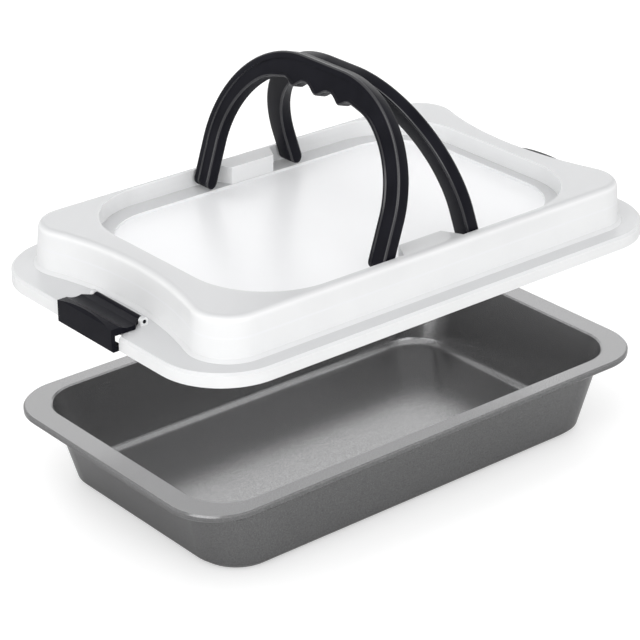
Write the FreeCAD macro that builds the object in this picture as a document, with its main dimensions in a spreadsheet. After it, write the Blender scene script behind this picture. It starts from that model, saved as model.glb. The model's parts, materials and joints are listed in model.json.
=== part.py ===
# Covered cake pan: a pressed steel pan and a moulded lid with two bail handles and two end clips.
# The lid is held above the pan, as when it has just been lifted off.
# Origin at the middle of the pan's underside, +X along the pan, +Z up.
import FreeCAD, Part
import Sketcher
import math
import os

DEGREES = 180 / math.pi

# Driving sizes in millimetres, angles in degrees
SIZES = {
    # Pan
    "rim_length": 400.0,
    "rim_width": 230.0,
    "rim_corner": 38.0,
    "mouth_length": 364.0,
    "mouth_width": 204.0,
    "base_length": 335.0,
    "base_width": 190.0,
    "tub_corner": 33.0,
    "pan_height": 60.0,
    "steel": 1.0,
    "base_round": 7.5,
    "rim_bevel": 1.0,
    "hem_height": 5.0,
    "hem_thickness": 3.2,
    "hem_bevel": 1.2,
    # Lid
    "lid_raise": 92.6,
    "lid_length": 404.0,
    "lid_width": 248.0,
    "lid_corner": 48.0,
    "skirt_height": 9.6,
    "lid_wall": 1.5,
    "skirt_bevel": 1.6,
    "wall_length": 363.0,
    "wall_width": 219.0,
    "wall_corner": 27.0,
    "wall_waist": 336.0,
    "wall_draft": 2.5,
    "dome_height": 30.0,
    "shoulder_round": 5.0,
    "foot_bevel": 2.2,
    "recess_length": 300.0,
    "recess_width": 203.0,
    "recess_corner": 58.0,
    "recess_depth": 12.5,
    "floor_length": 283.0,
    "floor_width": 174.0,
    "floor_corner": 44.0,
    "floor_step": 2.0,
    "bump_reach": 14.0,
    "bump_length": 52.0,
    "bump_tip_length": 37.0,
    "rib_pitch": 202.0,
    "rib_thickness": 1.2,
    # Bail handles
    "pivot_spacing": 76.0,
    "pivot_drop": 5.6,
    "bail_width": 200.0,
    "bail_reach": 110.0,
    "bail_corner": 67.0,
    "bail_thickness": 12.5,
    "leg_width": 21.0,
    "grip_depth": 24.5,
    "bail_inner_corner": 46.0,
    "bail_edge": 1.8,
    "ridge_bevel": 1.3,
    "pin_diameter": 5.5,
    "pin_length": 4.4,
    "pin_end_room": 2.0,
    "finger_grooves": 4,
    "groove_pitch": 24.4,
    "groove_radius": 12.0,
    "groove_depth": 3.6,
    "channel_border": 4.0,
    "channel_depth": 1.0,
    "channel_foot": 6.2,
    "grip_gap": 0.3,
    # End clips
    "clip_width": 59.0,
    "clip_front": 206.5,
    "clip_plate": 3.0,
    "clip_drop": 1.0,
    "clip_bevel": 1.2,
    "arm_lift": 0.5,
    "arm_thickness": 3.4,
    "crest_rise": 8.8,
    "crest_arch": 3.4,
    "crest_thickness": 2.4,
    "hook_reach": 1.5,
    "hook_nose": 1.2,
    "hinge_inset": 22.5,
    "hinge_rise": 2.7,
    "hinge_pin": 2.6,
    "knuckle_radius": 2.3,
    "clip_chamfer": 5.0,
    "scoop_radius": 15.0,
    "scoop_inset": 14.8,
    "scoop_rise": 9.6,
    "ear_thickness": 3.0,
    "ear_radius": 2.9,
    "ear_gap": 0.4,
    "notch_depth": 4.5,
    "notch_gap": 1.5,
    "seat_gap": 0.3,
    # Running clearance round every hinge pin, and how far cutting shapes run past a face
    "pin_clearance": 0.06,
    "overcut": 2.0,
}

doc = FreeCAD.newDocument("CoveredPan")
sheet = doc.addObject("Spreadsheet::Sheet", "Sizes")
for row, (alias, size) in enumerate(SIZES.items(), start=1):
    sheet.set("A%d" % row, alias)
    sheet.set("B%d" % row, str(size))
    sheet.setAlias("B%d" % row, alias)
doc.recompute()


def number(expression):
    """Value of an expression on the sheet, for a sketch's first guess."""
    return float(sheet.evalExpression(expression))


# Sketches, each held by constraints that read the sheet

def new_sketch(body, name, plane, level="0"):
    """Sketch on one of the body's own origin planes, raised by the level."""
    sketch = body.newObject("Sketcher::SketchObject", name)
    roles = {feature.Role: feature for feature in body.Origin.OriginFeatures}
    sketch.AttachmentSupport = [(roles[plane], "")]
    sketch.MapMode = "FlatFace"
    sketch.setExpression("AttachmentOffset.Base.z", level)
    return sketch


def constrain(sketch, kind, *values, expression):
    """Driving constraint bound to an expression."""
    index = sketch.addConstraint(Sketcher.Constraint(kind, *values, number(expression)))
    sketch.setExpression("Constraints[%d]" % index, expression)


def relate(sketch, kind, *values):
    """Constraint with no value."""
    sketch.addConstraint(Sketcher.Constraint(kind, *values))


def corner_arc(x, y, radius, start, end):
    """Arc about a point, counter-clockwise, angles in degrees."""
    circle = Part.Circle(FreeCAD.Vector(x, y, 0), FreeCAD.Vector(0, 0, 1), radius)
    return Part.ArcOfCircle(circle, start / DEGREES, end / DEGREES)


def segment(x1, y1, x2, y2):
    return Part.LineSegment(FreeCAD.Vector(x1, y1, 0), FreeCAD.Vector(x2, y2, 0))


def add_rounded(sketch, length, width, corner):
    """Rounded rectangle about the origin, added to a sketch."""
    first = sketch.GeometryCount
    x, y, r = number(length) / 2, number(width) / 2, number(corner)
    sketch.addGeometry([
        segment(r - x, -y, x - r, -y), corner_arc(x - r, r - y, r, -90, 0),
        segment(x, r - y, x, y - r), corner_arc(x - r, y - r, r, 0, 90),
        segment(x - r, y, r - x, y), corner_arc(r - x, y - r, r, 90, 180),
        segment(-x, y - r, -x, r - y), corner_arc(r - x, r - y, r, 180, 270),
    ])
    for index in range(8):
        relate(sketch, "Tangent", first + index, 2, first + (index + 1) % 8, 1)
    for index in (0, 4):
        relate(sketch, "Horizontal", first + index)
    for index in (2, 6):
        relate(sketch, "Vertical", first + index)
    for index in (3, 5, 7):
        relate(sketch, "Equal", first + 1, first + index)
    relate(sketch, "Symmetric", first + 7, 3, first + 3, 3, -1, 1)
    constrain(sketch, "Radius", first + 1, expression=corner)
    constrain(sketch, "DistanceX", first + 6, 1, first + 2, 1, expression=length)
    constrain(sketch, "DistanceY", first, 1, first + 4, 1, expression=width)


def rounded_outline(body, name, level, length, width, corner):
    """Level sketch of one rounded rectangle."""
    sketch = new_sketch(body, name, "XY_Plane", level)
    add_rounded(sketch, length, width, corner)
    return sketch


def waisted_outline(body, name, level, length, width, corner, waist):
    """Rounded rectangle whose ends curve in to the waist length at the middle."""
    sketch = new_sketch(body, name, "XY_Plane", level)
    x, y, r = number(length) / 2, number(width) / 2, number(corner)
    pull = "((%s) - (%s)) / 2" % (length, waist)
    rise = "((%s) / 2 - (%s))" % (width, corner)
    waist_radius = "((%s)^2 + (%s)^2) / (2 * (%s)) - (%s)" % (rise, pull, pull, corner)
    big = number(waist_radius)
    centre = number(waist) / 2 + big
    turn = DEGREES * math.atan2(y - r, centre - x + r)
    sketch.addGeometry([
        segment(r - x, -y, x - r, -y), corner_arc(x - r, r - y, r, -90, turn),
        corner_arc(centre, 0, big, 180 - turn, 180 + turn), corner_arc(x - r, y - r, r, -turn, 90),
        segment(x - r, y, r - x, y), corner_arc(r - x, y - r, r, 90, 180 + turn),
        corner_arc(-centre, 0, big, -turn, turn), corner_arc(r - x, r - y, r, 180 - turn, 270),
    ])
    joints = [(0, 2, 1, 1), (1, 2, 2, 2), (2, 1, 3, 1), (3, 2, 4, 1),
              (4, 2, 5, 1), (5, 2, 6, 2), (6, 1, 7, 1), (7, 2, 0, 1)]
    for joint in joints:
        relate(sketch, "Tangent", *joint)
    for index in (0, 4):
        relate(sketch, "Horizontal", index)
    for index in (3, 5, 7):
        relate(sketch, "Equal", 1, index)
    relate(sketch, "Equal", 2, 6)
    relate(sketch, "Symmetric", 7, 3, 3, 3, -1, 1)
    for index in (2, 6):
        relate(sketch, "PointOnObject", index, 3, -1)
    constrain(sketch, "Radius", 1, expression=corner)
    constrain(sketch, "Radius", 2, expression=waist_radius)
    constrain(sketch, "DistanceX", 7, 3, 1, 3, expression="(%s) - 2 * (%s)" % (length, corner))
    constrain(sketch, "DistanceY", 0, 1, 4, 1, expression=width)
    return sketch


def polygon(body, name, plane, corners, level="0"):
    """Closed outline through corners, each given as two expressions."""
    sketch = new_sketch(body, name, plane, level)
    places = [(number(across), number(up)) for across, up in corners]
    count = len(places)
    for index in range(count):
        sketch.addGeometry(segment(*places[index], *places[(index + 1) % count]))
    for index, (across, up) in enumerate(corners):
        relate(sketch, "Coincident", index, 2, (index + 1) % count, 1)
        constrain(sketch, "DistanceX", -1, 1, index, 1, expression=across)
        constrain(sketch, "DistanceY", -1, 1, index, 1, expression=up)
    return sketch


def disc(body, name, plane, across, up, radius, level="0"):
    """Circle about a point given as two expressions."""
    sketch = new_sketch(body, name, plane, level)
    centre = FreeCAD.Vector(number(across), number(up), 0)
    sketch.addGeometry(Part.Circle(centre, FreeCAD.Vector(0, 0, 1), number(radius)))
    constrain(sketch, "DistanceX", -1, 1, 0, 3, expression=across)
    constrain(sketch, "DistanceY", -1, 1, 0, 3, expression=up)
    constrain(sketch, "Radius", 0, expression=radius)
    return sketch


def arch(sketch, width, foot, top, corner):
    """Upright arch in a sketch: straight legs, two arcs and a flat top, closed at the foot."""
    first = sketch.GeometryCount
    y, low, high, r = number(width) / 2, number(foot), number(top), number(corner)
    sketch.addGeometry([
        segment(y, low, y, high - r), corner_arc(y - r, high - r, r, 0, 90),
        segment(y - r, high, r - y, high), corner_arc(r - y, high - r, r, 90, 180),
        segment(-y, high - r, -y, low), segment(-y, low, y, low),
    ])
    for index in range(4):
        relate(sketch, "Tangent", first + index, 2, first + index + 1, 1)
    relate(sketch, "Coincident", first + 4, 2, first + 5, 1)
    relate(sketch, "Coincident", first + 5, 2, first, 1)
    relate(sketch, "Vertical", first)
    relate(sketch, "Horizontal", first + 2)
    relate(sketch, "Vertical", first + 4)
    relate(sketch, "Equal", first + 1, first + 3)
    relate(sketch, "Symmetric", first, 1, first + 4, 2, -2)
    constrain(sketch, "Radius", first + 1, expression=corner)
    constrain(sketch, "DistanceX", first + 4, 2, first, 1, expression=width)
    constrain(sketch, "DistanceY", -1, 1, first, 1, expression=foot)
    constrain(sketch, "DistanceY", -1, 1, first + 2, 1, expression=top)


def add_ring(sketch, up, inner, outer):
    """Two circles about a point on the sketch's upright axis."""
    for radius in (inner, outer):
        index = sketch.GeometryCount
        centre = FreeCAD.Vector(0, number(up), 0)
        sketch.addGeometry(Part.Circle(centre, FreeCAD.Vector(0, 0, 1), number(radius)))
        relate(sketch, "PointOnObject", index, 3, -2)
        constrain(sketch, "DistanceY", -1, 1, index, 3, expression=up)
        constrain(sketch, "Radius", index, expression=radius)


# Features

def pad(body, name, sketch, length, both=False, reverse=False):
    feature = body.newObject("PartDesign::Pad", name)
    feature.Profile = sketch
    feature.Midplane = both
    feature.Reversed = reverse
    feature.setExpression("Length", length)
    body.Tip = feature
    return feature


def pocket(body, name, sketch, length, both=False, reverse=False):
    """Cut a sketch into the body, and stop if nothing came off."""
    doc.recompute()
    before = body.Shape.Volume
    feature = body.newObject("PartDesign::Pocket", name)
    feature.Profile = sketch
    feature.Midplane = both
    feature.Reversed = reverse
    feature.setExpression("Length", length)
    body.Tip = feature
    doc.recompute()
    if body.Shape.Volume >= before:
        raise ValueError("%s cuts nothing" % name)
    return feature


def loft(body, name, low, high, cut_away=False):
    kind = "PartDesign::SubtractiveLoft" if cut_away else "PartDesign::AdditiveLoft"
    feature = body.newObject(kind, name)
    feature.Profile = high
    feature.Sections = [low]
    feature.Ruled = True
    body.Tip = feature
    return feature


def dress_edges(body, kind, name, chosen, setting, size):
    """Fillet or chamfer on the edges of the body's last feature that the test picks."""
    doc.recompute()
    base = body.Tip
    edges = ["Edge%d" % (index + 1) for index, edge in enumerate(base.Shape.Edges) if chosen(edge)]
    if not edges:
        raise ValueError("%s finds no edge" % name)
    feature = body.newObject(kind, name)
    feature.Base = (base, edges)
    feature.setExpression(setting, size)
    body.Tip = feature
    return feature


def blend_edges(body, name, chosen, radius):
    return dress_edges(body, "PartDesign::Fillet", name, chosen, "Radius", radius)


def bevel_edges(body, name, chosen, size):
    return dress_edges(body, "PartDesign::Chamfer", name, chosen, "Size", size)


TOLERANCE = 0.01


def reach_x(edge):
    return max(abs(edge.BoundBox.XMin), abs(edge.BoundBox.XMax))


def reach_y(edge):
    return max(abs(edge.BoundBox.YMin), abs(edge.BoundBox.YMax))


def at_height(level):
    """Edge test: the whole edge lies at one height."""
    height = number(level)

    def chosen(edge):
        box = edge.BoundBox
        return max(abs(box.ZMin - height), abs(box.ZMax - height)) < TOLERANCE
    return chosen


def rising_from(level, rise):
    """Edge test: starts at one height and rises by at least the given amount."""
    low, least = number(level), number(rise)

    def chosen(edge):
        box = edge.BoundBox
        return abs(box.ZMin - low) < TOLERANCE and box.ZLength > least
    return chosen


def level_edges_within(level, length, width):
    """Edge test: at one height, and inside a rectangle about the origin."""
    flat = at_height(level)
    x, y = number(length) / 2 + TOLERANCE, number(width) / 2 + TOLERANCE
    return lambda edge: flat(edge) and reach_x(edge) < x and reach_y(edge) < y


def level_edges_beyond(length, width):
    """Edge test: lies flat, and reaches outside a rectangle about the origin."""
    x, y = number(length) / 2 + TOLERANCE, number(width) / 2 + TOLERANCE
    return lambda edge: edge.BoundBox.ZLength < TOLERANCE and (reach_x(edge) > x or reach_y(edge) > y)


def new_body(name):
    return doc.addObject("PartDesign::Body", name)


def cut(name, base, tool):
    feature = doc.addObject("Part::Cut", name)
    feature.Base = base
    feature.Tool = tool
    return feature


def fuse(name, *shapes):
    feature = doc.addObject("Part::MultiFuse", name)
    feature.Shapes = list(shapes)
    feature.Refine = True
    return feature


def rod(name, radius, length, x, y, z):
    """Cylinder along Y whose near end is at x, y, z."""
    feature = doc.addObject("Part::Cylinder", name)
    feature.setExpression("Radius", radius)
    feature.setExpression("Height", length)
    feature.Placement.Rotation = FreeCAD.Rotation(FreeCAD.Vector(1, 0, 0), -90)
    feature.setExpression("Placement.Base.x", x)
    feature.setExpression("Placement.Base.y", y)
    feature.setExpression("Placement.Base.z", z)
    return feature


def block(name, size, place):
    """Box of three size expressions at three place expressions."""
    feature = doc.addObject("Part::Box", name)
    for side, expression in zip(("Length", "Width", "Height"), size):
        feature.setExpression(side, expression)
    for axis, expression in zip("xyz", place):
        feature.setExpression("Placement.Base.%s" % axis, expression)
    return feature


# Size of the bevel that touches a round of the radius that follows
BEVEL_FOR = "(2 - sqrt(2)) * "

# Levels that several pieces share
SKIRT_LOW = "(Sizes.pan_height + Sizes.lid_raise)"
FLANGE = "(%s + Sizes.skirt_height)" % SKIRT_LOW
FLANGE_UNDER = "(%s - Sizes.lid_wall)" % FLANGE
LAND = "(%s + Sizes.dome_height)" % FLANGE
LAND_UNDER = "(%s - Sizes.lid_wall)" % LAND
LEDGE = "(%s - Sizes.recess_depth)" % LAND
PIVOT = "(%s - Sizes.pivot_drop)" % LAND
HINGE_X = "(Sizes.lid_length / 2 - Sizes.hinge_inset)"
HINGE_Z = "(%s + Sizes.hinge_rise)" % FLANGE


def tub(body, name, floor, inset, corner):
    """Tapered tub with rounded corners, inset from the steel's outside."""
    wedge = body.newObject("PartDesign::AdditiveWedge", name)
    roles = {feature.Role: feature for feature in body.Origin.OriginFeatures}
    wedge.AttachmentSupport = [(roles["XZ_Plane"], "")]
    wedge.MapMode = "FlatFace"
    wedge.setExpression("Ymin", floor)
    wedge.setExpression("Ymax", "Sizes.pan_height")
    base_x = "(Sizes.base_length / 2 - %s)" % inset
    base_y = "(Sizes.base_width / 2 - %s)" % inset
    mouth_x = "(Sizes.mouth_length / 2 + Sizes.steel - %s)" % inset
    mouth_y = "(Sizes.mouth_width / 2 + Sizes.steel - %s)" % inset
    for axis, half in (("X", base_x), ("Z", base_y), ("X2", mouth_x), ("Z2", mouth_y)):
        wedge.setExpression(axis + "min", "-" + half)
        wedge.setExpression(axis + "max", half)
    body.Tip = wedge
    blend_edges(body, name + "_corners", rising_from(floor, "Sizes.pan_height / 2"), corner)


def make_pan():
    """Pressed tub with a bent-out rim and a rolled hem."""
    hollow = new_body("pan_hollow")
    tub(hollow, "hollow", "Sizes.steel", "Sizes.steel", "Sizes.tub_corner - Sizes.steel")
    blend_edges(hollow, "floor_bend", at_height("Sizes.steel"), "Sizes.base_round - Sizes.steel")
    body = new_body("pan")
    tub(body, "tub", "0", "0", "Sizes.tub_corner")
    bevel_edges(body, "base_bend", at_height("0"), BEVEL_FOR + "Sizes.base_round")
    rim = rounded_outline(body, "rim_outline", "Sizes.pan_height",
                          "Sizes.rim_length", "Sizes.rim_width", "Sizes.rim_corner")
    pad(body, "rim", rim, "Sizes.steel", reverse=True)
    emptied = body.newObject("PartDesign::Boolean", "tub_emptied")
    emptied.Type = "Cut"
    emptied.setObjects([hollow])
    body.Tip = emptied
    bevel_edges(body, "rim_bend",
                level_edges_within("Sizes.pan_height", "Sizes.mouth_length", "Sizes.mouth_width"),
                "Sizes.rim_bevel")
    hem = new_sketch(body, "hem_outline", "XY_Plane", "Sizes.pan_height")
    add_rounded(hem, "Sizes.rim_length", "Sizes.rim_width", "Sizes.rim_corner")
    inner_length = "Sizes.rim_length - 2 * Sizes.hem_thickness"
    inner_width = "Sizes.rim_width - 2 * Sizes.hem_thickness"
    add_rounded(hem, inner_length, inner_width, "Sizes.rim_corner - Sizes.hem_thickness")
    pad(body, "hem", hem, "Sizes.hem_height", reverse=True)
    bevel_edges(body, "hem_roll", level_edges_beyond(inner_length, inner_width), "Sizes.hem_bevel")
    return body


def recess_shape(name, skin):
    """Shape of the lid's recess, with a skin of the given thickness round and under it."""
    body = new_body(name)
    level = "%s - %s" % (LEDGE, skin)
    grow = " + 2 * %s" % skin
    upper = rounded_outline(body, name + "_outline", level, "Sizes.recess_length" + grow,
                            "Sizes.recess_width" + grow, "Sizes.recess_corner + %s" % skin)
    height = "Sizes.recess_depth + Sizes.overcut + %s" % skin
    pad(body, name + "_upper", upper, height)
    slope = "((Sizes.bump_length - Sizes.bump_tip_length) / 2 / Sizes.bump_reach)"
    shrink = "(%s * sqrt(1 + %s^2))" % (skin, slope)
    edge = "(Sizes.recess_width / 2)"
    tip = "(%s - Sizes.bump_reach + %s)" % (edge, skin)
    base_half = "(Sizes.bump_length / 2 - %s)" % shrink
    tip_half = "(Sizes.bump_tip_length / 2 + %s * %s - %s)" % (slope, skin, shrink)
    past = "(%s + Sizes.overcut)" % edge
    for side, sign in (("near", "-"), ("far", "")):
        corners = [("-" + base_half, sign + edge), ("-" + tip_half, sign + tip),
                   (tip_half, sign + tip), (base_half, sign + edge),
                   (base_half, sign + past), ("-" + base_half, sign + past)]
        bump = polygon(body, "%s_%s_bump" % (name, side), "XY_Plane", corners, level)
        pocket(body, "%s_%s_bump_cut" % (name, side), bump, height, reverse=True)
    lower = rounded_outline(body, name + "_floor_outline", level, "Sizes.floor_length" + grow,
                            "Sizes.floor_width" + grow, "Sizes.floor_corner + %s" % skin)
    pad(body, name + "_floor", lower, "Sizes.floor_step", reverse=True)
    return body


def dome(body, name, low, high, inset):
    """Dome with pulled-in ends, drafted evenly all round, inset from the lid's outer wall."""
    outlines = []
    for place, level, inward in (("foot", low, inset), ("top", high, inset + " + Sizes.wall_draft")):
        outlines.append(waisted_outline(
            body, "%s_%s_outline" % (name, place), level,
            "Sizes.wall_length - 2 * (%s)" % inward, "Sizes.wall_width - 2 * (%s)" % inward,
            "Sizes.wall_corner - (%s)" % inward, "Sizes.wall_waist - 2 * (%s)" % inward))
    return loft(body, name, *outlines)


def lid_outside():
    """Outer form: flange with its skirt, and the dome with pulled-in ends."""
    body = new_body("lid_outside")
    skirt = rounded_outline(body, "skirt_outline", SKIRT_LOW,
                            "Sizes.lid_length", "Sizes.lid_width", "Sizes.lid_corner")
    pad(body, "skirt", skirt, "Sizes.skirt_height")
    bevel_edges(body, "skirt_bend", at_height(FLANGE), "Sizes.skirt_bevel")
    dome(body, "dome", FLANGE, LAND, "0")
    blend_edges(body, "shoulder", at_height(LAND), "Sizes.shoulder_round")
    bevel_edges(body, "wall_foot",
                level_edges_within(FLANGE, "Sizes.wall_length", "Sizes.wall_width"),
                "Sizes.foot_bevel")
    return body


def lid_hollow():
    """Space under the lid, one wall thickness inside the outer form."""
    body = new_body("lid_hollow")
    skin = " - 2 * Sizes.lid_wall"
    skirt = rounded_outline(body, "skirt_hollow_outline", "%s - Sizes.overcut" % SKIRT_LOW,
                            "Sizes.lid_length" + skin, "Sizes.lid_width" + skin,
                            "Sizes.lid_corner - Sizes.lid_wall")
    pad(body, "skirt_hollow", skirt, "Sizes.skirt_height - Sizes.lid_wall + Sizes.overcut")
    dome(body, "dome_hollow", FLANGE_UNDER, LAND_UNDER, "Sizes.lid_wall")
    bevel_edges(body, "shoulder_hollow", at_height(LAND_UNDER),
                BEVEL_FOR + "(Sizes.shoulder_round - Sizes.lid_wall)")
    return body


KNUCKLE_HALF = "(Sizes.clip_width / 2 - Sizes.clip_chamfer)"
EAR_NEAR = "(%s + Sizes.ear_gap)" % KNUCKLE_HALF


def make_lid():
    """Thin moulded lid: outer form less the recess, less the hollow that follows both."""
    ribs = []
    for x_name, x_sign in (("left", "-"), ("right", "")):
        for y_name, y_sign in (("near", "-"), ("far", "")):
            centre_y = "%s(Sizes.recess_width + Sizes.wall_width) / 4" % y_sign
            wide = "(Sizes.wall_width - Sizes.recess_width) / 2"
            ribs.append(block(
                "rib_%s_%s" % (x_name, y_name),
                ("Sizes.rib_thickness", wide, "Sizes.recess_depth + Sizes.lid_wall"),
                ("%sSizes.rib_pitch / 2 - Sizes.rib_thickness / 2" % x_sign,
                 "%s - %s / 2" % (centre_y, wide), "%s - Sizes.lid_wall" % LEDGE)))
    kept = fuse("recess_jacket_and_ribs", recess_shape("jacket", "Sizes.lid_wall"), *ribs)
    space = cut("space_under_lid", lid_hollow(), kept)
    pressed = cut("lid_with_recess", lid_outside(), recess_shape("recess", "0"))
    shell = cut("lid_shell", pressed, space)
    ears = []
    notches = []
    holes = []
    for x_name, x_sign in (("left", "-"), ("right", "")):
        holes.append(rod("bail_hole_" + x_name, "Sizes.pin_diameter / 2 + Sizes.pin_clearance",
                         "Sizes.recess_width + 2 * (Sizes.lid_wall + Sizes.pin_end_room)",
                         "%sSizes.pivot_spacing / 2" % x_sign,
                         "-Sizes.recess_width / 2 - Sizes.lid_wall - Sizes.pin_end_room", PIVOT))
        deep = "(Sizes.notch_depth + Sizes.overcut)"
        notches.append(block(
            "clip_notch_" + x_name,
            (deep, "Sizes.clip_width + 2 * Sizes.notch_gap", "Sizes.skirt_height + 2 * Sizes.overcut"),
            ("%s(Sizes.lid_length / 2 + Sizes.overcut - %s / 2) - %s / 2" % (x_sign, deep, deep),
             "-Sizes.clip_width / 2 - Sizes.notch_gap", "%s - Sizes.overcut" % SKIRT_LOW)))
        holes.append(rod("clip_hole_" + x_name, "Sizes.hinge_pin / 2 + Sizes.pin_clearance",
                         "2 * (%s + Sizes.ear_thickness + Sizes.overcut)" % EAR_NEAR,
                         x_sign + HINGE_X,
                         "-(%s + Sizes.ear_thickness + Sizes.overcut)" % EAR_NEAR, HINGE_Z))
        for y_name, start in (("near", "-(%s + Sizes.ear_thickness)" % EAR_NEAR), ("far", EAR_NEAR)):
            name = "ear_%s_%s" % (x_name, y_name)
            ears.append(block(name + "_post",
                              ("2 * Sizes.ear_radius", "Sizes.ear_thickness",
                               "Sizes.hinge_rise + Sizes.lid_wall / 2"),
                              ("%s%s - Sizes.ear_radius" % (x_sign, HINGE_X), start,
                               "%s - Sizes.lid_wall / 2" % FLANGE)))
            ears.append(rod(name + "_head", "Sizes.ear_radius", "Sizes.ear_thickness",
                            x_sign + HINGE_X, start, HINGE_Z))
    solid = fuse("lid_with_ears", shell, *ears)
    trimmed = cut("lid_notched", solid, fuse("clip_notches", *notches))
    return cut("lid_drilled", trimmed, fuse("pin_holes", *holes))


def across_bar(height):
    """Edge test: runs straight through a bail's bar at one height, on its inner or outer corner."""
    level, least = number(height), number("Sizes.bail_thickness / 2")

    def chosen(edge):
        box = edge.BoundBox
        return box.XLength > least and box.YLength < TOLERANCE and abs(box.ZMin - level) < TOLERANCE
    return chosen


def along_bar(edge):
    """Edge test: follows a bail's outline on either face, or runs round one of its heels."""
    box = edge.BoundBox
    on_face = box.XLength < TOLERANCE and abs(reach_x(edge) - number("Sizes.bail_thickness / 2")) < TOLERANCE
    across_heel = box.ZLength < TOLERANCE and abs(box.ZMin) < TOLERANCE
    round_heel = box.YLength < TOLERANCE and box.ZMin < -TOLERANCE
    return round_heel or (on_face and not across_heel)


def make_bail(name, side):
    """Bail handle, drawn about its pivot with the outer face at -X, then leaned over."""
    body = new_body(name)
    outline = new_sketch(body, name + "_outline", "YZ_Plane")
    arch(outline, "Sizes.bail_width", "0", "Sizes.bail_reach", "Sizes.bail_corner")
    pad(body, name + "_bar", outline, "Sizes.bail_thickness", both=True)
    heel = disc(body, name + "_heel_outline", "XZ_Plane", "0", "0", "Sizes.bail_thickness / 2")
    pad(body, name + "_heel", heel, "Sizes.bail_width", both=True)
    inner = new_sketch(body, name + "_inner_outline", "YZ_Plane")
    inner_top = "(Sizes.bail_reach - Sizes.grip_depth)"
    arch(inner, "Sizes.bail_width - 2 * Sizes.leg_width", "-Sizes.bail_thickness / 2 - Sizes.overcut",
         inner_top, "Sizes.bail_inner_corner")
    pocket(body, name + "_hand_hole", inner, "Sizes.bail_thickness + Sizes.overcut", both=True)
    span = "(Sizes.finger_grooves - 1) * Sizes.groove_pitch"
    groove = disc(body, name + "_groove_outline", "YZ_Plane", "-%s / 2" % span,
                  "%s + Sizes.groove_depth - Sizes.groove_radius" % inner_top,
                  "Sizes.groove_radius")
    first = pocket(body, name + "_groove", groove, "Sizes.bail_thickness + Sizes.overcut", both=True)
    grooves = body.newObject("PartDesign::LinearPattern", name + "_grooves")
    grooves.Originals = [first]
    grooves.Direction = (groove, ["H_Axis"])
    grooves.setExpression("Length", span)
    grooves.setExpression("Occurrences", "Sizes.finger_grooves")
    body.Tip = grooves
    bevel_edges(body, name + "_ridges", across_bar(inner_top), "Sizes.ridge_bevel")
    bevel_edges(body, name + "_edges", along_bar, "Sizes.bail_edge")
    channel = new_sketch(body, name + "_channel_outline", "YZ_Plane",
                         "Sizes.channel_depth - Sizes.bail_thickness / 2")
    border = "Sizes.channel_border"
    arch(channel, "Sizes.bail_width - 2 * %s" % border, "Sizes.channel_foot",
         "Sizes.bail_reach - %s" % border, "Sizes.bail_corner - %s" % border)
    arch(channel, "Sizes.bail_width - 2 * Sizes.leg_width + 2 * %s" % border, "2 * Sizes.channel_foot",
         "%s + Sizes.groove_depth + %s" % (inner_top, border), "Sizes.bail_inner_corner + %s" % border)
    pocket(body, name + "_channel", channel, "Sizes.channel_depth + Sizes.overcut")
    for pin, level, back in (("near", "Sizes.bail_width / 2 - Sizes.overcut", False),
                             ("far", "Sizes.overcut - Sizes.bail_width / 2", True)):
        circle = disc(body, "%s_%s_pin_outline" % (name, pin), "XZ_Plane", "0", "0",
                      "Sizes.pin_diameter / 2", level)
        pad(body, "%s_%s_pin" % (name, pin), circle, "Sizes.pin_length + Sizes.overcut", reverse=back)
    reach = number("Sizes.bail_reach")
    face = number("Sizes.bail_thickness / 2")
    diagonal = math.hypot(reach, face)
    inward = number("(Sizes.pivot_spacing - Sizes.grip_gap) / 2")
    lean = DEGREES * (math.asin(inward / diagonal) - math.atan2(face, reach))
    turn = FreeCAD.Rotation(FreeCAD.Vector(0, 1, 0), -side * lean)
    if side > 0:
        turn = turn.multiply(FreeCAD.Rotation(FreeCAD.Vector(0, 0, 1), 180))
    body.Placement.Rotation = turn
    body.setExpression("Placement.Base.x", "%d * Sizes.pivot_spacing / 2" % side)
    body.setExpression("Placement.Base.z", PIVOT)
    return body


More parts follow.
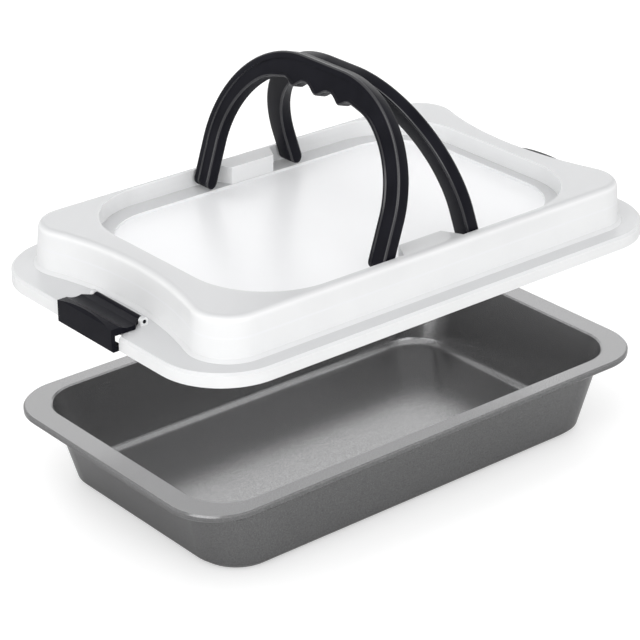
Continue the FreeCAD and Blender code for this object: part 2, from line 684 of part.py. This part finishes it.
def make_clip(name, side):
    """End clip: arm hinged on the flange, front plate with a thumb crest, and a hook below."""
    body = new_body(name)
    low = "(%s - Sizes.clip_drop)" % SKIRT_LOW
    arm_low = "(%s + Sizes.arm_lift)" % FLANGE
    arm_top = "(%s + Sizes.arm_thickness)" % arm_low
    crest = "(%s + Sizes.crest_rise)" % FLANGE
    front = "Sizes.clip_front"
    plate = "(Sizes.clip_front - Sizes.clip_plate)"
    hook_top = "(%s - Sizes.hem_height - 2 * Sizes.seat_gap)" % FLANGE_UNDER
    tip = "(Sizes.rim_length / 2 - Sizes.hook_reach)"
    bevel = "Sizes.clip_bevel"
    corners = [
        (HINGE_X, arm_low), (plate, arm_low), (plate, hook_top), (tip, hook_top),
        (tip, "%s - Sizes.hook_nose" % hook_top), ("%s + 2 * %s" % (tip, bevel), low),
        ("%s - %s" % (front, bevel), low), (front, "%s + %s" % (low, bevel)),
        (front, "%s - 2 * %s" % (crest, bevel)), ("%s - %s" % (front, bevel), crest),
        ("%s - %s - Sizes.crest_thickness" % (front, bevel), crest),
        ("%s - Sizes.scoop_inset - Sizes.clip_plate" % front, arm_top), (HINGE_X, arm_top),
    ]
    profile = polygon(body, name + "_profile", "XZ_Plane", corners)
    pad(body, name + "_strip", profile, "Sizes.clip_width", both=True)
    scoop = disc(body, name + "_scoop_outline", "XZ_Plane", "%s - Sizes.scoop_inset" % front,
                 "%s + Sizes.scoop_rise" % crest, "Sizes.scoop_radius")
    pocket(body, name + "_scoop", scoop, "Sizes.clip_width + Sizes.overcut", both=True)
    bow = "((Sizes.clip_width^2 / 4 + Sizes.crest_arch^2) / (2 * Sizes.crest_arch))"
    arc = new_sketch(body, name + "_crest_outline", "YZ_Plane")
    add_ring(arc, "%s - %s" % (crest, bow), bow, bow + " + Sizes.clip_width")
    pocket(body, name + "_crest", arc, "2 * (%s + Sizes.overcut)" % front, both=True)
    relief = "(%s + Sizes.ear_radius + Sizes.ear_gap)" % HINGE_X
    behind = "(%s - Sizes.ear_radius - Sizes.overcut)" % HINGE_X
    past = "(Sizes.clip_width / 2 + Sizes.overcut)"
    for edge, sign in (("near", "-"), ("far", "")):
        corner = polygon(body, "%s_%s_relief_outline" % (name, edge), "XY_Plane", [
            (behind, sign + KNUCKLE_HALF), (relief, sign + KNUCKLE_HALF),
            ("%s + Sizes.clip_chamfer + Sizes.overcut" % relief, sign + past),
            (behind, sign + past)], arm_low + " - Sizes.overcut")
        pocket(body, "%s_%s_relief" % (name, edge), corner,
               "Sizes.crest_rise + 2 * Sizes.overcut", reverse=True)
    knuckle = disc(body, name + "_knuckle_outline", "XZ_Plane", HINGE_X, HINGE_Z,
                   "Sizes.knuckle_radius")
    pad(body, name + "_knuckle", knuckle, "2 * " + KNUCKLE_HALF, both=True)
    pin = disc(body, name + "_pin_outline", "XZ_Plane", HINGE_X, HINGE_Z, "Sizes.hinge_pin / 2")
    pad(body, name + "_pin", pin, "2 * (%s + Sizes.ear_thickness)" % EAR_NEAR, both=True)
    if side < 0:
        body.Placement.Rotation = FreeCAD.Rotation(FreeCAD.Vector(0, 0, 1), 180)
    return body


parts = {
    "pan": make_pan(),
    "lid": make_lid(),
    "handle_left": make_bail("handle_left", -1),
    "handle_right": make_bail("handle_right", 1),
    "clip_left": make_clip("clip_left", -1),
    "clip_right": make_clip("clip_right", 1),
}
doc.recompute()

for thing in doc.Objects:
    if "Invalid" in thing.State or "Error" in thing.State:
        raise ValueError("%s could not be made" % thing.Name)
for name, thing in parts.items():
    thing.Label = name
    if thing.Shape.isNull() or not thing.Shape.isValid():
        raise ValueError("%s has no sound shape" % name)

os.makedirs("parts", exist_ok=True)
for name, thing in parts.items():
    thing.Shape.exportStep("parts/%s.step" % name)
    print(name, len(thing.Shape.Solids), round(thing.Shape.Volume), thing.Shape.BoundBox)
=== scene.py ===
import json
import math

import bmesh
import bpy
from mathutils import Matrix, Vector

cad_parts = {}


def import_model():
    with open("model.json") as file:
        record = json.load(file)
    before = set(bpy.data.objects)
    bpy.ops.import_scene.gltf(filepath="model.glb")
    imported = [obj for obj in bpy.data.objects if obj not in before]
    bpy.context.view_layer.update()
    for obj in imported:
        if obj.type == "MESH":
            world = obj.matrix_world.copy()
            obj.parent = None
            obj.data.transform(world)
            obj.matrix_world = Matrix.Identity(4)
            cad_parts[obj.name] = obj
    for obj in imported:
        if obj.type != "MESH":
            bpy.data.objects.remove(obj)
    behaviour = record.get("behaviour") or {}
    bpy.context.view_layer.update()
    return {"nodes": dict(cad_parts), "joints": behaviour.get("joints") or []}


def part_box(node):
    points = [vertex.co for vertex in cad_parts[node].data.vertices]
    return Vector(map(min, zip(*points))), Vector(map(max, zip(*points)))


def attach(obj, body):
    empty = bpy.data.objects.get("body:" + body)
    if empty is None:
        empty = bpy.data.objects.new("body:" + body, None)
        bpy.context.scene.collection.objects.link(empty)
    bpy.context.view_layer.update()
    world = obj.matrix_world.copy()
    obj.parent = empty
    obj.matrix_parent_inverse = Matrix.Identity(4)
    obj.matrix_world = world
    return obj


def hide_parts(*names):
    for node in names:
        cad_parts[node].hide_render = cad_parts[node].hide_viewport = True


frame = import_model()


# Materials

class Surface:
    """A principled material, with short calls for the procedural nodes that vary it."""

    def __init__(self, name, colour, roughness, **sockets):
        self.material = bpy.data.materials.new(name)
        self.material.use_nodes = True
        self.tree = self.material.node_tree
        self.shader = self.tree.nodes["Principled BSDF"]
        self.shader.inputs["Base Color"].default_value = (*colour, 1.0)
        self.shader.inputs["Roughness"].default_value = roughness
        for socket, value in sockets.items():
            self.shader.inputs[socket.replace("_", " ")].default_value = value
        self.coordinates = self.node("TexCoord").outputs["Object"]

    def node(self, kind, **settings):
        """A new shader node, with its settings."""
        made = self.tree.nodes.new("ShaderNode" + kind)
        for key, value in settings.items():
            setattr(made, key, value)
        return made

    def link(self, source, target):
        """Join the output of one node to a socket of another."""
        self.tree.links.new(source, target)

    def feed(self, socket, value):
        """Give a socket a colour, a number or the output of another node."""
        if isinstance(value, tuple):
            socket.default_value = (*value, 1.0)
        elif isinstance(value, float):
            socket.default_value = value
        else:
            self.link(value, socket)

    def noise(self, scale, detail=2.0, roughness=0.5):
        """Noise over the object's own coordinates, in cells per metre."""
        texture = self.node("TexNoise")
        texture.inputs["Scale"].default_value = scale
        texture.inputs["Detail"].default_value = detail
        texture.inputs["Roughness"].default_value = roughness
        self.link(self.coordinates, texture.inputs["Vector"])
        return texture.outputs["Fac"]

    def ramp(self, source, *stops):
        """Colour ramp, each stop a position and a colour."""
        made = self.node("ValToRGB")
        elements = made.color_ramp.elements
        for position, _ in stops[1:-1]:
            elements.new(position)
        for element, (position, colour) in zip(elements, stops):
            element.position = position
            element.color = (*colour, 1.0)
        self.link(source, made.inputs["Fac"])
        return made.outputs["Color"]

    def along_z(self, vector):
        """The Z part of a vector that a node puts out."""
        split = self.node("SeparateXYZ")
        self.link(vector, split.inputs["Vector"])
        return split.outputs["Z"]

    def maths(self, operation, first, second):
        """The product or the comparison of two values."""
        made = self.node("Math", operation=operation)
        self.feed(made.inputs[0], first)
        self.feed(made.inputs[1], second)
        return made.outputs["Value"]

    def mix(self, amount, first, second):
        """Colour between two, by the amount."""
        made = self.node("Mix", data_type="RGBA")
        self.link(amount, made.inputs["Factor"])
        ends = [socket for socket in made.inputs if socket.type == "RGBA"]
        self.feed(ends[0], first)
        self.feed(ends[1], second)
        return [socket for socket in made.outputs if socket.type == "RGBA"][0]

    def rescale(self, source, low, high, low_from=0.0, high_from=1.0):
        """Spread a range of the source over another range."""
        made = self.node("MapRange")
        limits = {"From Min": low_from, "From Max": high_from, "To Min": low, "To Max": high}
        for socket, value in limits.items():
            made.inputs[socket].default_value = value
        self.link(source, made.inputs["Value"])
        return made.outputs["Result"]

    def bump(self, height, distance):
        """Relief from a source, with its full depth in metres."""
        made = self.node("Bump")
        made.inputs["Distance"].default_value = distance
        self.link(height, made.inputs["Height"])
        self.use(made.outputs["Normal"], "Normal")

    def use(self, source, socket):
        """Drive one of the shader's sockets."""
        self.link(source, self.shader.inputs[socket])


def steel_coating():
    """Dark grey non-stick coating on pressed steel: fine metal flecks and a soft sheen."""
    dark = (0.15, 0.15, 0.152)
    middle = (0.2, 0.2, 0.202)
    light = (0.28, 0.28, 0.283)
    surface = Surface("non_stick_steel", colour=(0.3, 0.3, 0.305), roughness=0.3, Metallic=0.8)
    flecks = surface.noise(scale=1700.0, detail=2.0, roughness=0.7)
    surface.use(surface.ramp(flecks, (0.36, dark), (0.5, middle), (0.66, light)), "Base Color")
    cloud = surface.noise(scale=14.0, detail=3.0)
    surface.use(surface.rescale(cloud, low=0.15, high=0.2), "Roughness")
    surface.bump(surface.noise(scale=1500.0), distance=0.00004)
    return surface.material


# Height of the lid's sunk panel, and how far its own finish reaches above and below it
PANEL_HEIGHT = 0.1777
PANEL_BAND = 0.0007


def sunk_panel(surface):
    """1 at the height of the lid's sunk panel and 0 elsewhere."""
    height = surface.along_z(surface.coordinates)
    low_enough = surface.maths("LESS_THAN", height, PANEL_HEIGHT + PANEL_BAND)
    high_enough = surface.maths("GREATER_THAN", height, PANEL_HEIGHT - PANEL_BAND)
    return surface.maths("MULTIPLY", low_enough, high_enough)


def lid_plastic():
    """Milky moulded plastic: painted shade makes whatever faces up (the land and flange) greyer than
    the walls, and the sunk panel is whiter.
    """
    dull_wall = (0.93, 0.935, 0.94)
    bright_wall = (0.96, 0.965, 0.97)
    # Painted shade: the grey given to every surface that faces up, the land and the flange alike
    land = (0.61, 0.615, 0.625)
    panel = (0.96, 0.965, 0.98)
    surface = Surface("milky_plastic", colour=(0.86, 0.87, 0.88), roughness=0.3,
                      Specular_IOR_Level=0.4, Alpha=0.92, Subsurface_Weight=0.22,
                      Subsurface_Scale=0.02, Subsurface_Radius=(1.0, 1.0, 1.0))
    # Painted shade: each surface is coloured by how far it faces up, not by a mark of its own, so the
    # land and flange come out greyer than the walls
    normal = surface.node("NewGeometry").outputs["Normal"]
    painted_shade_by_facing_up = surface.rescale(surface.along_z(normal), low=0.0, high=1.0, low_from=0.5, high_from=0.95)
    haze = surface.ramp(surface.noise(scale=30.0, detail=3.0), (0.3, dull_wall), (0.7, bright_wall))
    walls_and_painted_shade = surface.mix(painted_shade_by_facing_up, haze, land)
    surface.use(surface.mix(sunk_panel(surface), walls_and_painted_shade, panel), "Base Color")
    surface.use(surface.rescale(surface.noise(scale=60.0), low=0.26, high=0.36), "Roughness")
    surface.bump(surface.noise(scale=900.0), distance=0.00002)
    return surface.material


def black_plastic(name, roughness, gloss):
    """Black satin moulded plastic with a fine spark-eroded grain."""
    dark = (0.004, 0.004, 0.007)
    light = (0.008, 0.008, 0.012)
    smoother = roughness - 0.04
    rougher = roughness + 0.05
    surface = Surface(name, colour=(0.006, 0.006, 0.009), roughness=roughness, Specular_IOR_Level=gloss)
    surface.use(surface.ramp(surface.noise(scale=40.0), (0.3, dark), (0.7, light)), "Base Color")
    surface.use(surface.rescale(surface.noise(scale=300.0), smoother, rougher), "Roughness")
    surface.bump(surface.noise(scale=2200.0), distance=0.00003)
    return surface.material


def dress(name, material):
    """Give a CAD node its finish, in each slot that it has."""
    node = frame["nodes"][name]
    if not node.material_slots:
        node.data.materials.append(material)
    for slot in node.material_slots:
        slot.material = material


steel = steel_coating()
milky = lid_plastic()
handle_black = black_plastic("handle_black", roughness=0.33, gloss=0.08)
clip_black = black_plastic("clip_black", roughness=0.36, gloss=0.07)
handle_edge = black_plastic("handle_edge", roughness=0.24, gloss=0.75)

dress("pan", steel)
dress("lid", milky)
for end in ("left", "right"):
    dress("handle_" + end, handle_black)
    dress("clip_" + end, clip_black)


# Handles: each a bar bent in an arch, with a channel along its outer face and a notched grip

SPAN = 0.200
LEFT_REACH = 0.1087
LEFT_CORNER = 0.080
RIGHT_REACH = 0.1055
RIGHT_CORNER = 0.087
BAR_WIDTH = 0.0153
BAR_THICKNESS = 0.0098
EDGE_ROUND = 0.0013
ROUND_STEPS = 3
STATION_SPACING = 0.0013
GRIPS_APART = 0.0006

# The grip is deeper than the legs, and a power over 1 makes its ridges narrower than its notches
GRIP_DEEPER = 0.0023
RIDGE_RISE = 0.0052
RIDGE_POWER = 1.4
NOTCH_PITCH = 0.0244
NOTCHES = 4

# The channel has four points in the section: two at the bar's face and two on its own floor
CHANNEL_POINTS = 4
CHANNEL_OUTER_BORDER = 0.0048
CHANNEL_INNER_BORDER = 0.0024
CHANNEL_DEPTH = 0.0011
CHANNEL_SLOPE = 0.0006

# The heel under each end stops this share of a step early, and so ends in a narrow face
HEEL_STEPS = 6
HEEL_STOP = 0.35
PIN_RADIUS = 0.00275
PIN_LENGTH = 0.0044
PIN_ROUND = 0.0005
PIN_SIDES = 24

# Edges that turn by more than this stay sharp
SHARP_ANGLE = math.radians(40)


def arch_station(along, half_width, reach, corner):
    """Place and outward direction on the arch, at a distance along it from its foot."""
    straight = reach - corner
    quarter = corner * math.pi / 2
    flat = 2 * (half_width - corner)
    total = 2 * (straight + quarter) + flat
    side = -1
    if along > total / 2:
        along = total - along
        side = 1
    if along <= straight:
        return Vector((side * half_width, along)), Vector((side, 0))
    if along <= straight + quarter:
        turn = (along - straight) / corner
        centre = Vector((side * (half_width - corner), straight))
        outward = Vector((side * math.cos(turn), math.sin(turn)))
        return centre + outward * corner, outward
    past = along - straight - quarter
    return Vector((side * (flat / 2 - past), reach)), Vector((0, 1))


def grip_depth_at(across):
    """How much deeper the bar is there than along its legs: the grip, with ridges between notches."""
    last_notch = NOTCH_PITCH * (NOTCHES - 1) / 2
    if abs(across) <= last_notch:
        wave = 0.5 + 0.5 * math.cos(2 * math.pi * across / NOTCH_PITCH)
        return GRIP_DEEPER + RIDGE_RISE * wave ** RIDGE_POWER
    fade = min(1.0, (abs(across) - last_notch) / NOTCH_PITCH)
    return GRIP_DEEPER * (0.5 + 0.5 * math.cos(math.pi * fade))


def corner_points(centre_across, centre_deep, start):
    """Points of a rounded corner of the bar's section, from a start angle through a quarter turn."""
    points = []
    for step in range(ROUND_STEPS + 1):
        angle = start + math.pi / 2 * step / ROUND_STEPS
        across = centre_across + EDGE_ROUND * math.cos(angle)
        deep = centre_deep + EDGE_ROUND * math.sin(angle)
        points.append((across, deep))
    return points


def bar_section(width, squeeze):
    """Closed section: distance in from the outer edge, and depth from the middle of the bar."""
    face = -BAR_THICKNESS / 2
    back = BAR_THICKNESS / 2
    channel_floor = face + CHANNEL_DEPTH
    channel_end = width - CHANNEL_INNER_BORDER
    points = corner_points(EDGE_ROUND, face + EDGE_ROUND, math.pi)
    points.append((CHANNEL_OUTER_BORDER, face))
    points.append((CHANNEL_OUTER_BORDER + CHANNEL_SLOPE, channel_floor))
    points.append((channel_end - CHANNEL_SLOPE, channel_floor))
    points.append((channel_end, face))
    points += corner_points(width - EDGE_ROUND, face + EDGE_ROUND, -math.pi / 2)
    points += corner_points(width - EDGE_ROUND, back - EDGE_ROUND, 0.0)
    points += corner_points(EDGE_ROUND, back - EDGE_ROUND, math.pi / 2)
    return [(across, deep * squeeze) for across, deep in points]


def shiny_strips():
    """Strips of the section that the mould leaves polished: its rounded corners and channel sides."""
    corner = ROUND_STEPS + 1
    past_channel = corner + CHANNEL_POINTS
    strips = {corner, past_channel - 2}
    for start in (0, past_channel, past_channel + corner, past_channel + 2 * corner):
        strips.update(range(start, start + ROUND_STEPS))
    return strips


def heel_station(last, turn):
    """The station that follows the last one, further round the heel and squeezed thinner."""
    edge, inward, width, _ = last
    angle = math.pi / 2 * turn / (HEEL_STEPS + HEEL_STOP)
    drop = BAR_THICKNESS / 2 * math.sin(angle)
    return Vector((edge.x, -drop)), inward, width, math.cos(angle)


def bar_stations(reach, corner):
    """Each station: place of the outer edge, direction inwards, width and squeeze of the section."""
    middle_half = (SPAN - BAR_WIDTH) / 2
    middle_reach = reach - BAR_WIDTH / 2
    middle_corner = corner - BAR_WIDTH / 2
    legs = 2 * (middle_reach - middle_corner)
    total = legs + math.pi * middle_corner + 2 * (middle_half - middle_corner)
    count = round(total / STATION_SPACING)
    stations = []
    for index in range(count + 1):
        place, outward = arch_station(total * index / count, middle_half, middle_reach, middle_corner)
        width = BAR_WIDTH + (grip_depth_at(place.x) if outward.y > 0 else 0.0)
        stations.append((place + outward * BAR_WIDTH / 2, -outward, width, 1.0))
    for turn in range(1, HEEL_STEPS + 1):
        stations.insert(0, heel_station(stations[0], turn))
        stations.append(heel_station(stations[-1], turn))
    return stations


def leaning_frame(pivot, side, reach):
    """Gives the call that places a handle's points, leaning in from its pivot over the lid."""
    lean = math.asin((abs(pivot.x) - BAR_THICKNESS / 2 - GRIPS_APART) / reach)

    def placed(deep, across, height):
        out = deep * math.cos(lean) + height * math.sin(lean)
        rise = -deep * math.sin(lean) + height * math.cos(lean)
        return Vector((pivot.x - side * out, -side * across, pivot.z + rise))

    return placed


def bar_rings(placed, reach, corner):
    """Rings of points along the bar, one at each station."""
    rings = []
    for edge, inward, width, squeeze in bar_stations(reach, corner):
        ring = []
        for across, deep in bar_section(width, squeeze):
            spot = edge + inward * across
            ring.append(placed(deep, spot.x, spot.y))
        rings.append(ring)
    return rings


def pin_rings(placed, end):
    """Rings of points along the pivot pin at one end, from inside the bar to its rounded tip."""
    turns = [2 * math.pi * step / PIN_SIDES for step in range(PIN_SIDES)]
    profile = ((-EDGE_ROUND, PIN_RADIUS),
               (PIN_LENGTH - PIN_ROUND, PIN_RADIUS),
               (PIN_LENGTH, PIN_RADIUS - PIN_ROUND))
    rings = []
    for out, radius in profile:
        across = end * (SPAN / 2 + out)
        ring = [placed(radius * math.cos(turn), across, radius * math.sin(turn)) for turn in turns]
        rings.append(ring)
    return rings


def add_rings(mesh, rings, shiny=()):
    """Skin between closed rings of points, with a face over each end."""
    made = [[mesh.verts.new(point) for point in ring] for ring in rings]
    for first, second in zip(made, made[1:]):
        for index in range(len(first)):
            after = (index + 1) % len(first)
            face = mesh.faces.new((first[index], first[after], second[after], second[index]))
            face.material_index = 1 if index in shiny else 0
    mesh.faces.new(list(reversed(made[0])))
    mesh.faces.new(made[-1])


def make_handle(name, body, side, reach, corner):
    """A handle with its pins moulded on; side is -1 for the left one and 1 for the right one."""
    placed = leaning_frame(pivots[body], side, reach)
    mesh = bmesh.new()
    add_rings(mesh, bar_rings(placed, reach, corner), shiny_strips())
    for end in (-1, 1):
        add_rings(mesh, pin_rings(placed, end))
    bmesh.ops.recalc_face_normals(mesh, faces=mesh.faces)
    data = bpy.data.meshes.new(name)
    mesh.to_mesh(data)
    mesh.free()
    piece = bpy.data.objects.new(name, data)
    bpy.context.collection.objects.link(piece)
    data.materials.append(handle_black)
    data.materials.append(handle_edge)
    for face in data.polygons:
        face.use_smooth = True
    data.set_sharp_from_angle(angle=SHARP_ANGLE)
    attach(piece, body)
    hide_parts(body)


pivots = {joint["child"]: Vector(joint["pos_m"]) for joint in frame["joints"]}
make_handle("bail_left", "handle_left", -1, LEFT_REACH, LEFT_CORNER)
make_handle("bail_right", "handle_right", 1, RIGHT_REACH, RIGHT_CORNER)


# Floor, backdrop and light

FLOOR_SIZE = 6.0
FLOOR_DROP = 0.0004
FLOOR_COLOUR = (0.66, 0.66, 0.66, 1)
FLOOR_ROUGHNESS = 0.6
FLOOR_SPECULAR = 0.2
FLOOR_GLOW = 0.45
WORLD_LIGHT = 0.82
WORLD_SEEN = 1.0
GLOW_SIZE = (0.40, 0.20)
GLOW_UNDER_LID = 0.0091
GLOW_POWER = 0.26


def floor():
    """Pale floor just under the pan, lifted to white for the camera alone, so its shadows stay."""
    bpy.ops.mesh.primitive_plane_add(size=FLOOR_SIZE, location=(0, 0, -FLOOR_DROP))
    plane = bpy.context.object
    plane.name = "floor"
    material = bpy.data.materials.new("floor_white")
    material.use_nodes = True
    tree = material.node_tree
    shader = tree.nodes["Principled BSDF"]
    shader.inputs["Base Color"].default_value = FLOOR_COLOUR
    shader.inputs["Roughness"].default_value = FLOOR_ROUGHNESS
    shader.inputs["Specular IOR Level"].default_value = FLOOR_SPECULAR
    glow = tree.nodes.new("ShaderNodeEmission")
    path = tree.nodes.new("ShaderNodeLightPath")
    add = tree.nodes.new("ShaderNodeAddShader")
    strength = tree.nodes.new("ShaderNodeMath")
    strength.operation = "MULTIPLY"
    strength.inputs[1].default_value = FLOOR_GLOW
    tree.links.new(path.outputs["Is Camera Ray"], strength.inputs[0])
    tree.links.new(strength.outputs["Value"], glow.inputs["Strength"])
    tree.links.new(shader.outputs["BSDF"], add.inputs[0])
    tree.links.new(glow.outputs["Emission"], add.inputs[1])
    tree.links.new(add.outputs["Shader"], tree.nodes["Material Output"].inputs["Surface"])
    plane.data.materials.append(material)


def world():
    """White to the camera and in what is glossy or clear, and a little dimmer as a light."""
    made = bpy.data.worlds.new("studio")
    bpy.context.scene.world = made
    made.use_nodes = True
    tree = made.node_tree
    background = tree.nodes["Background"]
    background.inputs["Color"].default_value = (1, 1, 1, 1)
    path = tree.nodes.new("ShaderNodeLightPath")
    seen = path.outputs["Is Camera Ray"]
    for ray in ("Is Transmission Ray", "Is Glossy Ray"):
        either = tree.nodes.new("ShaderNodeMath")
        either.operation = "MAXIMUM"
        tree.links.new(seen, either.inputs[0])
        tree.links.new(path.outputs[ray], either.inputs[1])
        seen = either.outputs["Value"]
    level = tree.nodes.new("ShaderNodeMapRange")
    level.inputs["To Min"].default_value = WORLD_LIGHT
    level.inputs["To Max"].default_value = WORLD_SEEN
    tree.links.new(seen, level.inputs["Value"])
    tree.links.new(level.outputs["Result"], background.inputs["Strength"])


def area_lamp(name, place, size, power):
    """An oblong lamp, which shines straight down until it is turned."""
    light = bpy.data.lights.new(name, "AREA")
    light.shape = "RECTANGLE"
    light.size, light.size_y = size
    light.energy = power
    lamp = bpy.data.objects.new(name, light)
    bpy.context.collection.objects.link(lamp)
    lamp.location = place
    return lamp


def soft_box(name, place, aim_height, size, power):
    """A large studio lamp, aimed at a height on the object's own axis."""
    lamp = area_lamp(name, place, size, power)
    towards = Vector((0, 0, aim_height)) - Vector(place)
    lamp.rotation_mode = "QUATERNION"
    lamp.rotation_quaternion = towards.to_track_quat("-Z", "Y")


def lid_glow():
    """The light that the milky lid passes down, from an unseen lamp just under its lower edge."""
    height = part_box("lid")[0].z - GLOW_UNDER_LID
    lamp = area_lamp("lid_glow", (0, 0, height), GLOW_SIZE, GLOW_POWER)
    lamp.visible_camera = False
    lamp.visible_transmission = False


floor()
world()
soft_box("key", place=(-1.2, -0.4, 2.2), aim_height=0.1, size=(1.6, 1.6), power=13)
soft_box("fill", place=(-0.3, -2.1, 1.0), aim_height=0.1, size=(1.4, 1.4), power=12)
soft_box("left", place=(-2.1, -0.5, 0.9), aim_height=0.1, size=(1.4, 1.4), power=9)
soft_box("back", place=(1.3, 1.55, 0.95), aim_height=0.05, size=(2.0, 1.1), power=6.5)
lid_glow()


# Camera, fitted to the photo

CAMERA_AZIMUTH = math.radians(-39.91)
CAMERA_ELEVATION = math.radians(25.59)
CAMERA_DISTANCE = 1.7
AIM_HEIGHT = 0.10064
AIM_TO_THE_RIGHT = -0.00889
SENSOR_WIDTH = 36.0
FOCAL_LENGTH = 137.92
NEAREST_SEEN = 0.05
FURTHEST_SEEN = 50


def camera():
    """Camera at its distance from the point that it aims at, beside the object's own axis."""
    right = Vector((math.cos(CAMERA_AZIMUTH), math.sin(CAMERA_AZIMUTH), 0))
    back = Vector((math.sin(CAMERA_AZIMUTH) * math.cos(CAMERA_ELEVATION),
                   -math.cos(CAMERA_AZIMUTH) * math.cos(CAMERA_ELEVATION),
                   math.sin(CAMERA_ELEVATION)))
    up = back.cross(right)
    data = bpy.data.cameras.new("camera")
    data.sensor_width = SENSOR_WIDTH
    data.lens = FOCAL_LENGTH
    data.clip_start = NEAREST_SEEN
    data.clip_end = FURTHEST_SEEN
    seen = bpy.data.objects.new("camera", data)
    bpy.context.collection.objects.link(seen)
    aim = Vector((0, 0, AIM_HEIGHT)) + right * AIM_TO_THE_RIGHT
    turn = Matrix((right, up, back)).transposed()
    seen.matrix_world = Matrix.Translation(aim + back * CAMERA_DISTANCE) @ turn.to_4x4()
    bpy.context.scene.camera = seen


camera()

scene = bpy.context.scene
scene.view_settings.view_transform = "Standard"
